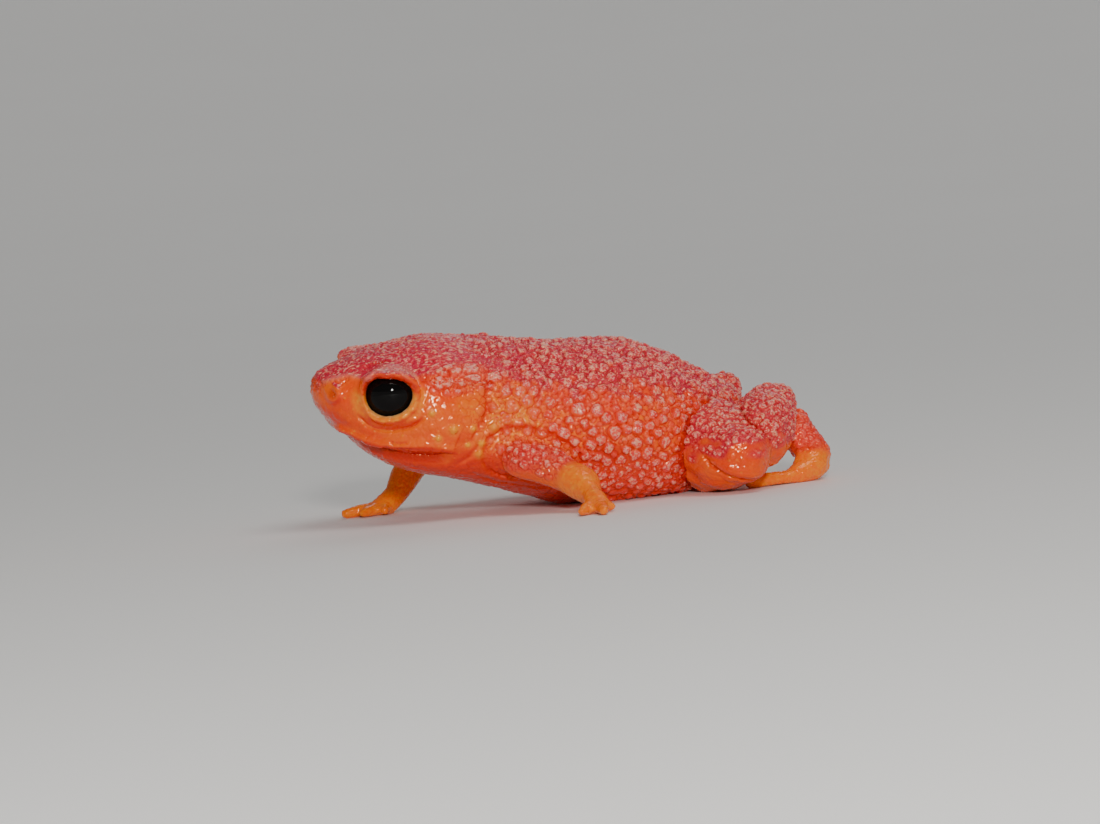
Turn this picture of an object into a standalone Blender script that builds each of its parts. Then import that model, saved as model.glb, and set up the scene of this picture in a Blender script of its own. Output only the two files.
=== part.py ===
"""Pumpkin toadlet, life size: a still model of a tiny, plump forest toad in mid step.

The toad faces -X with its left side towards -Y and stands on the plane z = 0. Lengths are metres.
The head and trunk are one loft with the lids, lips and orbits fused on, each limb is a chain of
tapered tubes, and thin cuts at the joints part them into nodes.
"""

import math

import bmesh
import bpy
import numpy as np
from mathutils import Matrix, Vector

MM = 0.001

# Gaps between nodes
CUT_GAP = 0.28 * MM
EYE_GAP = 0.14 * MM

# Grain of the fused forms, and the triangles that each keeps
BODY_GRAIN = 0.11 * MM
DIGIT_GRAIN = 0.08 * MM
BODY_TRIANGLES = 7000
HAND_TRIANGLES = 420
FOOT_TRIANGLES = 480

# Body: x along the toad, half width, and the heights of the back, the widest level and the belly, in mm
STATIONS = (
    (-10.12, 0.00, 5.45, 5.45, 5.45),
    (-10.04, 0.50, 5.84, 5.38, 4.95),
    (-9.78, 1.02, 6.12, 5.20, 4.52),
    (-9.36, 1.54, 6.34, 4.92, 4.05),
    (-8.80, 2.02, 6.54, 4.58, 3.46),
    (-8.10, 2.46, 6.76, 4.24, 2.82),
    (-7.20, 2.88, 6.96, 3.88, 2.30),
    (-6.30, 3.20, 7.12, 3.62, 1.98),
    (-5.40, 3.40, 7.22, 3.42, 1.74),
    (-4.40, 3.40, 7.12, 3.26, 1.42),
    (-3.30, 3.46, 6.94, 3.12, 1.04),
    (-1.90, 3.74, 6.70, 2.98, 0.50),
    (-0.40, 4.04, 6.48, 2.84, 0.02),
    (1.10, 4.18, 6.42, 2.72, -0.26),
    (2.50, 4.08, 6.30, 2.64, -0.34),
    (3.80, 3.70, 5.86, 2.58, -0.30),
    (4.90, 3.12, 5.30, 2.56, -0.14),
    (5.90, 2.42, 4.70, 2.58, 0.26),
    (6.75, 1.62, 4.20, 2.68, 0.92),
    (7.30, 0.86, 3.78, 2.86, 1.70),
    (7.48, 0.00, 2.95, 2.95, 2.95),
)
BODY_RINGS = 100
BODY_SIDES = 48
HEAD_SQUARENESS = 2.5
TRUNK_SQUARENESS = 2.1
NECK_X = -4.75 * MM
NECK_LEAN = math.radians(12)

# The body leans over its left side, most at the head
ROLL_AXIS_Z = 3.4 * MM
HEAD_ROLL = math.radians(10)
RUMP_ROLL = math.radians(4)
ROLL_FROM_X = -6.0 * MM
ROLL_TO_X = 5.0 * MM

# Eyes, in the body's own frame before it leans
EYE_RADIUS = 1.15 * MM
EYE_X = -7.30 * MM
EYE_Y = 1.66 * MM
EYE_Z = 5.42 * MM
EYE_FORWARD = math.radians(20)
EYE_UP = math.radians(4)
APERTURE_HALF_LENGTH = 0.90 * MM
APERTURE_HALF_HEIGHT = 0.73 * MM
LOWER_LID = 0.15 * MM
UPPER_LID = 0.22 * MM
ORBIT_WALL = 0.10 * MM
BROW_CENTRE = Vector((-7.35, 1.95, 6.08)) * MM
BROW_HALF_SIZE = Vector((1.30, 0.66, 0.50)) * MM

# Mouth line, as points along one side: x and height in mm, from the front under the snout to the jaw's corner
MOUTH_LINE = (
    (-9.16, 3.88),
    (-9.04, 3.82),
    (-8.76, 3.68),
    (-8.30, 3.51),
    (-7.72, 3.39),
    (-7.07, 3.33),
    (-6.33, 3.30),
    (-5.40, 3.36),
)
MOUTH_POINTS = 26
MOUTH_GROOVE = 0.15 * MM
LIP_RADIUS = 0.27 * MM
LIP_RISE = 0.26 * MM
LIP_SINK = 0.20 * MM

NOSTRIL_X = -9.50 * MM
NOSTRIL_Z = 5.56 * MM
NOSTRIL_HALF_SIZE = Vector((0.17, 0.24, 0.28)) * MM
NOSTRIL_RIM = 0.30 * MM

# Limbs: joints as x, y, z and radius in mm, from the root outwards
LEFT_UPPER_ARM = (
    (-3.60, -2.10, 2.70, 0.94),
    (-2.95, -3.20, 2.28, 0.88),
    (-2.05, -3.95, 1.86, 0.74),
    (-1.22, -4.60, 1.38, 0.68),
)
LEFT_FOREARM = ((-1.22, -4.60, 1.38, 0.68), (-0.95, -5.30, 1.02, 0.64), (-0.78, -5.95, 0.60, 0.46))
LEFT_PALM = ((-0.78, -5.95, 0.60, 0.46), (-0.74, -6.34, 0.38, 0.48), (-0.74, -6.66, 0.27, 0.42))
LEFT_FINGERS = (
    ((-0.88, -6.44, 0.28, 0.26), (-1.30, -6.66, 0.20, 0.20)),
    ((-0.90, -6.56, 0.28, 0.28), (-1.32, -7.00, 0.24, 0.25), (-1.60, -7.30, 0.19, 0.19)),
    ((-0.72, -6.64, 0.28, 0.30), (-0.82, -7.34, 0.25, 0.27), (-0.90, -7.86, 0.19, 0.20)),
    ((-0.60, -6.52, 0.28, 0.26), (-0.32, -6.90, 0.20, 0.20)),
)
RIGHT_UPPER_ARM = (
    (-3.70, 2.20, 3.95, 0.92),
    (-3.65, 3.30, 3.56, 0.84),
    (-4.25, 4.05, 2.96, 0.70),
    (-4.95, 4.40, 2.35, 0.66),
)
RIGHT_FOREARM = ((-4.95, 4.40, 2.35, 0.66), (-5.75, 4.16, 1.42, 0.62), (-6.35, 3.84, 0.62, 0.44))
RIGHT_PALM = ((-6.35, 3.84, 0.62, 0.44), (-6.74, 3.76, 0.38, 0.48), (-7.04, 3.72, 0.27, 0.42))
RIGHT_FINGERS = (
    ((-6.82, 3.57, 0.28, 0.26), (-6.95, 3.10, 0.20, 0.20)),
    ((-7.02, 3.62, 0.28, 0.28), (-7.52, 3.32, 0.24, 0.25), (-7.85, 3.10, 0.19, 0.19)),
    ((-7.02, 3.74, 0.28, 0.30), (-7.80, 3.80, 0.25, 0.27), (-8.45, 3.76, 0.19, 0.20)),
    ((-6.94, 3.88, 0.28, 0.26), (-7.30, 4.22, 0.20, 0.20)),
)
LEFT_THIGH = (
    (4.55, -1.10, 2.50, 1.90),
    (5.05, -2.60, 1.86, 1.92),
    (5.38, -3.90, 1.56, 1.58),
    (5.66, -4.80, 1.42, 1.20),
)
LEFT_SHANK = (
    (5.66, -4.80, 1.42, 1.20),
    (6.72, -3.80, 2.05, 1.38),
    (7.74, -2.50, 2.85, 1.12),
    (8.42, -1.75, 3.17, 0.76),
)
LEFT_TARSUS = ((8.72, -1.64, 3.02, 0.68), (8.95, -2.20, 1.98, 0.75), (9.46, -2.84, 0.84, 0.70))
LEFT_SOLE = ((9.48, -2.86, 0.74, 0.64), (9.18, -3.08, 0.52, 0.54), (8.50, -3.25, 0.36, 0.46))
LEFT_TOES = (
    ((8.60, -3.05, 0.28, 0.28), (8.10, -2.60, 0.20, 0.20)),
    ((8.50, -3.20, 0.28, 0.30), (7.60, -2.98, 0.25, 0.27), (6.95, -2.78, 0.19, 0.20)),
    ((8.40, -3.34, 0.28, 0.32), (7.30, -3.46, 0.26, 0.29), (6.45, -3.50, 0.19, 0.21)),
)
RIGHT_THIGH = (
    (4.30, 1.10, 3.00, 1.84),
    (4.80, 2.70, 2.56, 1.82),
    (5.10, 4.10, 2.06, 1.52),
    (5.30, 5.05, 1.70, 1.16),
)
RIGHT_SHANK = (
    (5.30, 5.05, 1.70, 1.16),
    (6.20, 4.40, 2.28, 1.34),
    (7.02, 3.45, 3.08, 1.06),
    (7.66, 2.82, 3.60, 0.77),
)
RIGHT_TARSUS = ((7.98, 2.98, 3.30, 0.68), (8.20, 3.50, 2.14, 0.76), (8.48, 4.20, 0.86, 0.70))
RIGHT_SOLE = ((8.50, 4.22, 0.78, 0.64), (8.14, 4.55, 0.52, 0.54), (7.60, 5.10, 0.36, 0.46))
RIGHT_TOES = (
    ((7.75, 4.90, 0.28, 0.28), (7.20, 4.82, 0.20, 0.20)),
    ((7.70, 5.05, 0.28, 0.30), (7.10, 5.50, 0.25, 0.27), (6.60, 5.95, 0.19, 0.20)),
    ((7.60, 5.18, 0.28, 0.32), (7.10, 6.05, 0.26, 0.29), (6.70, 6.80, 0.19, 0.21)),
)
LIMB_SIDES = 14
LIMB_STEP = 0.34 * MM
DIGIT_SIDES = 12

SKIN_COLOURS = {
    "head": (0.80, 0.20, 0.07),
    "trunk": (0.78, 0.17, 0.12),
    "arm": (0.85, 0.26, 0.06),
    "leg": (0.82, 0.20, 0.08),
}
EYE_COLOUR = (0.006, 0.005, 0.005)


def clear_scene():
    for obj in list(bpy.data.objects):
        bpy.data.objects.remove(obj)


def collection(name):
    made = bpy.data.collections.new(name)
    bpy.context.scene.collection.children.link(made)
    return made


def material(name, colour, roughness):
    made = bpy.data.materials.new(name)
    made.use_nodes = True
    shader = made.node_tree.nodes["Principled BSDF"]
    shader.inputs["Base Color"].default_value = (*colour, 1)
    shader.inputs["Roughness"].default_value = roughness
    return made


def new_object(name, mesh, home):
    obj = bpy.data.objects.new(name, mesh)
    home.objects.link(obj)
    return obj


def applied(obj):
    """Turns the object's modifiers into its mesh."""
    bpy.context.view_layer.update()
    graph = bpy.context.evaluated_depsgraph_get()
    mesh = bpy.data.meshes.new_from_object(obj.evaluated_get(graph))
    obj.modifiers.clear()
    obj.data = mesh
    return obj


def smooth_rows(rows, steps, before=None, after=None):
    """Rows read from a Catmull-Rom curve through the given rows, at steps counted in rows."""
    rows = np.asarray(rows, float)
    before = 2 * rows[0] - rows[1] if before is None else before
    after = 2 * rows[-1] - rows[-2] if after is None else after
    padded = np.vstack([before, rows, after])
    first = np.clip(np.floor(steps).astype(int), 0, len(rows) - 2)
    t = (steps - first)[:, None]
    a, b, c, d = (padded[first + k] for k in range(4))
    return 0.5 * (2 * b + (c - a) * t + (2 * a - 5 * b + 4 * c - d) * t**2 + (3 * b - a - 3 * c + d) * t**3)


def smoothstep(low, high, value):
    t = min(1.0, max(0.0, (value - low) / (high - low)))
    return t * t * (3 - 2 * t)


def loft(name, rings, start, end, home):
    """A closed skin over rings of equally many points, drawn to one point at each end."""
    bm = bmesh.new()
    loops = [[bm.verts.new(point) for point in ring] for ring in rings]
    sides = len(loops[0])
    for near, far in zip(loops, loops[1:]):
        for i in range(sides):
            j = (i + 1) % sides
            bm.faces.new((near[i], near[j], far[j], far[i]))
    for tip, loop in ((start, loops[0]), (end, loops[-1])):
        pole = bm.verts.new(tip)
        for i in range(sides):
            bm.faces.new((pole, loop[i], loop[(i + 1) % sides]))
    bmesh.ops.recalc_face_normals(bm, faces=bm.faces)
    mesh = bpy.data.meshes.new(name)
    bm.to_mesh(mesh)
    bm.free()
    return new_object(name, mesh, home)


# The body's surface

def mirrored_pole(row):
    """The station on the far side of a pole, which makes the tip round."""
    x, width, top, level, bottom = row
    return np.array((x, -width, bottom, level, top))


def body_rows():
    rows = np.array(STATIONS) * MM
    steps = np.linspace(0, len(rows) - 1, BODY_RINGS)
    return smooth_rows(rows, steps, mirrored_pole(rows[1]), mirrored_pole(rows[-2]))


BODY_ROWS = body_rows()


def station_at(x):
    """Half width, top, widest level and bottom of the body at x."""
    return [float(np.interp(x, BODY_ROWS[:, 0], BODY_ROWS[:, k])) for k in range(1, 5)]


def squareness_at(x):
    return HEAD_SQUARENESS + (TRUNK_SQUARENESS - HEAD_SQUARENESS) * smoothstep(-7 * MM, -2 * MM, x)


def leaned(x, y, z):
    """A point of the upright body, moved to where the leaning body has it."""
    roll = HEAD_ROLL + (RUMP_ROLL - HEAD_ROLL) * smoothstep(ROLL_FROM_X, ROLL_TO_X, x)
    height = z - ROLL_AXIS_Z
    return Vector((
        x,
        y * math.cos(roll) - height * math.sin(roll),
        ROLL_AXIS_Z + y * math.sin(roll) + height * math.cos(roll),
    ))


def body_ring(row):
    x, width, top, level, bottom = row
    power = 2 / squareness_at(x)
    ring = []
    for i in range(BODY_SIDES):
        angle = 2 * math.pi * i / BODY_SIDES
        across, up = math.cos(angle), math.sin(angle)
        y = width * math.copysign(abs(across) ** power, across)
        reach = top - level if up > 0 else level - bottom
        ring.append(leaned(x, y, level + reach * math.copysign(abs(up) ** power, up)))
    return ring


def half_width_at(x, z):
    """How far from the middle the upright body's side is at x and height z."""
    width, top, level, bottom = station_at(x)
    reach = top - level if z > level else level - bottom
    share = min(1.0, abs(z - level) / max(reach, 1e-9))
    squareness = squareness_at(x)
    return width * (1 - share**squareness) ** (1 / squareness)


def body_form(home):
    rows = BODY_ROWS[1:-1]
    ends = [leaned(row[0], 0, row[3]) for row in (BODY_ROWS[0], BODY_ROWS[-1])]
    return loft("body_form", [body_ring(row) for row in rows], *ends, home)


# Tapered tubes for limbs, lids, lips and digits

def tube_rings(centres, radii, sides, closed=False):
    """Rings square to a path of points, each turned as little as possible from the one before."""
    centres = [Vector(c) for c in centres]
    count = len(centres)
    rings = []
    side = None
    for i, (centre, radius) in enumerate(zip(centres, map(float, radii))):
        ahead = centres[(i + 1) % count] if closed else centres[min(i + 1, count - 1)]
        behind = centres[i - 1] if closed else centres[max(i - 1, 0)]
        along = (ahead - behind).normalized()
        if side is None:
            side = along.orthogonal().normalized()
        side = (side - along * side.dot(along)).normalized()
        other = along.cross(side)
        turn = (2 * math.pi * k / sides for k in range(sides))
        rings.append([centre + radius * (math.cos(a) * side + math.sin(a) * other) for a in turn])
    return rings


def tube(name, joints, sides, home):
    """A round-ended tube through joints of x, y, z and radius, in mm."""
    joints = np.array(joints) * MM
    length = np.linalg.norm(np.diff(joints[:, :3], axis=0), axis=1).sum()
    steps = np.linspace(0, len(joints) - 1, max(5, round(length / LIMB_STEP)))
    path = smooth_rows(joints, steps)
    start, end = Vector(path[0, :3]), Vector(path[-1, :3])
    backward = (start - Vector(path[1, :3])).normalized()
    forward = (end - Vector(path[-2, :3])).normalized()
    caps = [(math.sin(a), math.cos(a)) for a in np.radians((30, 58, 80))]
    first, last = path[0, 3], path[-1, 3]
    centres = [start + backward * first * out for out, _ in reversed(caps)]
    radii = [first * wide for _, wide in reversed(caps)]
    centres += [Vector(p[:3]) for p in path]
    radii += list(path[:, 3])
    centres += [end + forward * last * out for out, _ in caps]
    radii += [last * wide for _, wide in caps]
    rings = tube_rings(centres, radii, sides)
    return loft(name, rings, start + backward * first, end + forward * last, home)


def ball(name, centre, radius, home, segments=24, rings=14):
    bm = bmesh.new()
    bmesh.ops.create_uvsphere(bm, u_segments=segments, v_segments=rings, radius=radius)
    bmesh.ops.translate(bm, vec=centre, verts=bm.verts)
    mesh = bpy.data.meshes.new(name)
    bm.to_mesh(mesh)
    bm.free()
    return new_object(name, mesh, home)


def fuse(name, pieces, grain, triangles, smoothing, home):
    """One closed surface over overlapping pieces, smoothed, and thinned to a number of triangles."""
    bm = bmesh.new()
    for piece in pieces:
        bm.from_mesh(piece.data)
        bpy.data.objects.remove(piece)
    mesh = bpy.data.meshes.new(name)
    bm.to_mesh(mesh)
    bm.free()
    obj = new_object(name, mesh, home)
    remesh = obj.modifiers.new("Fuse", "REMESH")
    remesh.mode = "VOXEL"
    remesh.voxel_size = grain
    smooth = obj.modifiers.new("Smooth", "SMOOTH")
    smooth.factor = 0.5
    smooth.iterations = smoothing
    applied(obj)
    thin = obj.modifiers.new("Thin", "DECIMATE")
    thin.ratio = min(1.0, triangles / (2 * len(obj.data.polygons)))
    return applied(obj)


def largest_body(obj):
    """Keeps only the largest closed surface of the mesh."""
    bm = bmesh.new()
    bm.from_mesh(obj.data)
    left = set(bm.verts)
    islands = []
    while left:
        island = {left.pop()}
        edge = list(island)
        while edge:
            found = {e.other_vert(v) for v in edge for e in v.link_edges} - island
            island |= found
            edge = list(found)
        left -= island
        islands.append(island)
    islands.sort(key=len)
    for island in islands[:-1]:
        bmesh.ops.delete(bm, geom=list(island), context="VERTS")
    bm.to_mesh(obj.data)
    bm.free()
    return obj


def subtract(obj, cutter, solver="EXACT"):
    """Cuts the cutter's shape out of the object and keeps the largest piece that is left."""
    cut = obj.modifiers.new("Cut", "BOOLEAN")
    cut.object = cutter
    cut.operation = "DIFFERENCE"
    cut.solver = solver
    return largest_body(applied(obj))


def swollen(obj, by, home):
    """A copy of the object with its surface moved outwards, to cut neighbours back by a gap."""
    copy = new_object(obj.name + "_swollen", obj.data.copy(), home)
    swell = copy.modifiers.new("Swell", "DISPLACE")
    swell.strength = by
    swell.mid_level = 0
    return applied(copy)


def cut_with_plane(obj, point, outward):
    """Removes what lies on the outward side of a plane and closes the cut."""
    bm = bmesh.new()
    bm.from_mesh(obj.data)
    everything = bm.verts[:] + bm.edges[:] + bm.faces[:]
    found = bmesh.ops.bisect_plane(bm, geom=everything, plane_co=point, plane_no=outward, clear_outer=True)
    rim = [e for e in found["geom_cut"] if isinstance(e, bmesh.types.BMEdge)]
    bmesh.ops.holes_fill(bm, edges=rim, sides=0)
    bmesh.ops.triangulate(bm, faces=[f for f in bm.faces if len(f.verts) > 4])
    bmesh.ops.recalc_face_normals(bm, faces=bm.faces)
    bm.to_mesh(obj.data)
    bm.free()
    return obj


def joint_plane(inner, outer):
    """The point and direction of the plane that parts two limb segments at their shared joint."""
    meeting = Vector(inner[-1][:3]) * MM
    towards = (Vector(outer[1][:3]) - Vector(outer[0][:3])).normalized()
    along = (Vector(inner[-1][:3]) - Vector(inner[-2][:3])).normalized()
    return meeting, (towards + along).normalized()


def part_at_joint(inner, outer, inner_joints, outer_joints):
    """Cuts two overlapping segments so that they meet face to face at their joint."""
    meeting, along = joint_plane(inner_joints, outer_joints)
    cut_with_plane(inner, meeting - along * CUT_GAP / 2, along)
    cut_with_plane(outer, meeting + along * CUT_GAP / 2, -along)


# Eyes, lids, mouth and nostrils

def eye_frame(side):
    """Centre of an eye, and its outward, forward and upward directions. side is -1 for the left."""
    outward = Vector((
        -math.sin(EYE_FORWARD) * math.cos(EYE_UP),
        side * math.cos(EYE_FORWARD) * math.cos(EYE_UP),
        math.sin(EYE_UP),
    ))
    up = Vector((0, 0, 1))
    up = (up - outward * up.dot(outward)).normalized()
    forward = up.cross(outward) * side
    lean = Matrix.Rotation(HEAD_ROLL, 3, "X")
    centre = leaned(EYE_X, side * EYE_Y, EYE_Z)
    return centre, lean @ outward, lean @ forward, lean @ up


def lid_ring(side, home):
    """A rim round the eye's opening, thick along the brow and thin below."""
    centre, outward, forward, up = eye_frame(side)
    count = 40
    centres, radii = [], []
    for i in range(count):
        angle = 2 * math.pi * i / count
        brow = smoothstep(-0.2, 0.7, math.sin(angle))
        thick = LOWER_LID + (UPPER_LID - LOWER_LID) * brow
        ahead = math.cos(angle) * (APERTURE_HALF_LENGTH + thick)
        above = math.sin(angle) * (APERTURE_HALF_HEIGHT + thick)
        reach = EYE_RADIUS + EYE_GAP + thick
        out = math.sqrt(max(reach**2 - ahead**2 - above**2, 0))
        centres.append(centre + outward * out + forward * ahead + up * above)
        radii.append(thick)
    rings = tube_rings(centres, radii, 12, closed=True)
    bm = bmesh.new()
    loops = [[bm.verts.new(point) for point in ring] for ring in rings]
    # The last ring is joined to the first at the turn where their points lie nearest
    first = loops[0]
    turn = min(range(12), key=lambda k: (loops[-1][0].co - first[k].co).length)
    loops.append(first[turn:] + first[:turn])
    for near, far in zip(loops, loops[1:]):
        for i in range(12):
            j = (i + 1) % 12
            bm.faces.new((near[i], near[j], far[j], far[i]))
    bmesh.ops.recalc_face_normals(bm, faces=bm.faces)
    mesh = bpy.data.meshes.new("lid")
    bm.to_mesh(mesh)
    bm.free()
    return new_object("lid", mesh, home)


def brow(side, home):
    """A low ridge over the eye."""
    ridge = ball("brow", Vector(), 1.0, home, 20, 12)
    size = Matrix.Diagonal((*BROW_HALF_SIZE, 1))
    place = leaned(BROW_CENTRE.x, side * BROW_CENTRE.y, BROW_CENTRE.z)
    ridge.data.transform(Matrix.Translation(place) @ Matrix.Rotation(HEAD_ROLL, 4, "X") @ size)
    return ridge


def aperture_cutter(side, home):
    """An oval rod along the eye's axis, which opens the lids."""
    centre, outward, forward, up = eye_frame(side)
    rings = []
    for out in (0.2 * EYE_RADIUS, 2.2 * EYE_RADIUS):
        spread = 1.0 + 0.12 * (out > EYE_RADIUS)
        ring = []
        for i in range(28):
            angle = 2 * math.pi * i / 28
            ahead = math.cos(angle) * APERTURE_HALF_LENGTH * spread
            above = math.sin(angle) * APERTURE_HALF_HEIGHT * spread
            ring.append(centre + outward * out + forward * ahead + up * above)
        rings.append(ring)
    ends = [centre + outward * EYE_RADIUS * reach for reach in (0.2, 2.2)]
    return loft("aperture", rings, *ends, home)


def mouth_path(rise=0.0, sink=0.0):
    """Points of the mouth line round the snout, from the left corner to the right one."""
    steps = np.linspace(0, len(MOUTH_LINE) - 1, MOUTH_POINTS)
    side = []
    for x, z in smooth_rows(np.array(MOUTH_LINE) * MM, steps):
        y = max(half_width_at(x, z + rise) - sink, 0)
        side.append((x, y, z + rise))
    left = [leaned(x, -y, z) for x, y, z in reversed(side)]
    return left + [leaned(*point) for point in side]


def swept(name, centres, radius, sides, home):
    """A tube of one radius along a path, narrowed to a point at both ends."""
    radii = [radius * min(1, 0.35 + 0.2 * min(i, len(centres) - 1 - i)) for i in range(len(centres))]
    rings = tube_rings(centres[1:-1], radii[1:-1], sides)
    return loft(name, rings, centres[0], centres[-1], home)


def nostril_place(side):
    y = half_width_at(NOSTRIL_X, NOSTRIL_Z)
    return leaned(NOSTRIL_X, side * y, NOSTRIL_Z)


def nostril_cutter(side, home):
    cutter = ball("nostril", Vector(), 1.0, home, 12, 8)
    turn = Matrix.Rotation(HEAD_ROLL, 4, "X") @ Matrix.Rotation(side * math.radians(-38), 4, "Z")
    size = Matrix.Diagonal((*NOSTRIL_HALF_SIZE, 1))
    cutter.data.transform(Matrix.Translation(nostril_place(side)) @ turn @ size)
    return cutter


def build_body(parts, helpers):
    """Head and trunk in one, fused and cut."""
    pieces = [body_form(helpers)]
    for side in (-1, 1):
        centre = eye_frame(side)[0]
        pieces.append(ball("orbit", centre, EYE_RADIUS + EYE_GAP + ORBIT_WALL, helpers))
        pieces.append(lid_ring(side, helpers))
        pieces.append(brow(side, helpers))
        pieces.append(ball("nostril_rim", nostril_place(side), NOSTRIL_RIM, helpers, 14, 10))
    lip = mouth_path(LIP_RISE, LIP_SINK)
    pieces.append(swept("lip", lip, LIP_RADIUS, 10, helpers))
    body = fuse("head", pieces, BODY_GRAIN, BODY_TRIANGLES, 3, parts)
    for side in (-1, 1):
        centre = eye_frame(side)[0]
        subtract(body, aperture_cutter(side, helpers))
        subtract(body, ball("socket", centre, EYE_RADIUS + EYE_GAP, helpers, 28, 18))
        subtract(body, nostril_cutter(side, helpers))
    groove = swept("mouth_cutter", mouth_path(), MOUTH_GROOVE, 8, helpers)
    return subtract(body, groove, "MANIFOLD")


def part_at_neck(head, home):
    """Gives the trunk behind the neck a mesh of its own."""
    trunk = new_object("trunk", head.data.copy(), home)
    back = Vector((math.cos(NECK_LEAN), 0, -math.sin(NECK_LEAN)))
    neck = Vector((NECK_X, 0, ROLL_AXIS_Z))
    cut_with_plane(head, neck - back * CUT_GAP / 2, back)
    cut_with_plane(trunk, neck + back * CUT_GAP / 2, -back)
    return trunk


def build_eyes(home):
    """The two eyeballs, loose in their sockets."""
    eyes = []
    for side, side_name in ((-1, "left"), (1, "right")):
        eyes.append(ball(f"eye_{side_name}", eye_frame(side)[0], EYE_RADIUS, home, 22, 13))
    return eyes


def digits(name, base, rays, triangles, parts, helpers):
    """A palm or sole fused with its fingers or toes."""
    pieces = [tube("base", base, DIGIT_SIDES, helpers)]
    pieces += [tube("ray", ray, DIGIT_SIDES, helpers) for ray in rays]
    return fuse(name, pieces, DIGIT_GRAIN, triangles, 2, parts)


def build_arm(side_name, upper, fore, palm, fingers, parts, helpers):
    arm = tube(f"upper_arm_{side_name}", upper, LIMB_SIDES, parts)
    forearm = tube(f"forearm_{side_name}", fore, LIMB_SIDES, parts)
    hand = digits(f"hand_{side_name}", palm, fingers, HAND_TRIANGLES, parts, helpers)
    part_at_joint(arm, forearm, upper, fore)
    part_at_joint(forearm, hand, fore, palm)
    return [arm, forearm, hand]


def build_leg(side_name, thigh, shank, tarsus, sole, toes, parts, helpers):
    upper = tube(f"thigh_{side_name}", thigh, LIMB_SIDES, parts)
    lower = tube(f"shank_{side_name}", shank, LIMB_SIDES, parts)
    ankle = tube(f"tarsus_{side_name}", tarsus, LIMB_SIDES, parts)
    foot = digits(f"foot_{side_name}", sole, toes, FOOT_TRIANGLES, parts, helpers)
    subtract(lower, swollen(upper, CUT_GAP, helpers))
    subtract(ankle, swollen(lower, CUT_GAP, helpers))
    part_at_joint(ankle, foot, tarsus, sole)
    return [upper, lower, ankle, foot]


def place_on_origin(objects):
    """Centres everything over the origin, with the lowest point on the floor."""
    corners = np.array([v.co for obj in objects for v in obj.data.vertices])
    low, high = corners.min(axis=0), corners.max(axis=0)
    shift = Vector((-(low[0] + high[0]) / 2, -(low[1] + high[1]) / 2, -low[2]))
    for obj in objects:
        obj.data.transform(Matrix.Translation(shift))


def paint(objects, name, colour, roughness):
    for obj in objects:
        obj.data.materials.clear()
        obj.data.materials.append(material(f"{obj.name}_{name}", colour, roughness))
        for face in obj.data.polygons:
            face.use_smooth = True


def main():
    clear_scene()
    parts = collection("pumpkin_toadlet")
    helpers = collection("cutters")
    head = build_body(parts, helpers)
    cutter = swollen(head, CUT_GAP, helpers)
    trunk = part_at_neck(head, parts)
    arms = build_arm("left", LEFT_UPPER_ARM, LEFT_FOREARM, LEFT_PALM, LEFT_FINGERS, parts, helpers)
    arms += build_arm("right", RIGHT_UPPER_ARM, RIGHT_FOREARM, RIGHT_PALM, RIGHT_FINGERS, parts, helpers)
    legs = build_leg(
        "left", LEFT_THIGH, LEFT_SHANK, LEFT_TARSUS, LEFT_SOLE, LEFT_TOES, parts, helpers
    )
    legs += build_leg(
        "right", RIGHT_THIGH, RIGHT_SHANK, RIGHT_TARSUS, RIGHT_SOLE, RIGHT_TOES, parts, helpers
    )
    for obj in arms + legs:
        subtract(obj, cutter)
    for obj in [trunk, *arms, *legs]:
        cut_with_plane(obj, Vector((0, 0, 0)), Vector((0, 0, -1)))
    eyes = build_eyes(parts)
    paint([head], "skin", SKIN_COLOURS["head"], 0.35)
    paint([trunk], "skin", SKIN_COLOURS["trunk"], 0.35)
    paint(arms, "skin", SKIN_COLOURS["arm"], 0.35)
    paint(legs, "skin", SKIN_COLOURS["leg"], 0.35)
    paint(eyes, "surface", EYE_COLOUR, 0.05)
    place_on_origin([head, trunk, *arms, *legs, *eyes])
    for helper in helpers.objects:
        helper.hide_render = True
        helper.display_type = "WIRE"


main()
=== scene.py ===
"""Looks of the pumpkin toadlet: one wet, warty skin over the flesh nodes, and glossy eyes, in a pale studio.

Work on the shape is done in millimetres in the body's design frame: the head points along -X, the left side
faces -Y. The upright frame is the same body before it leans over its left side.
"""

from math import cos, pi, radians, sin, sqrt

import bmesh
import bpy
import numpy as np
from mathutils import Matrix, Vector
from mathutils.bvhtree import BVHTree
from mathutils.kdtree import KDTree


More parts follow.
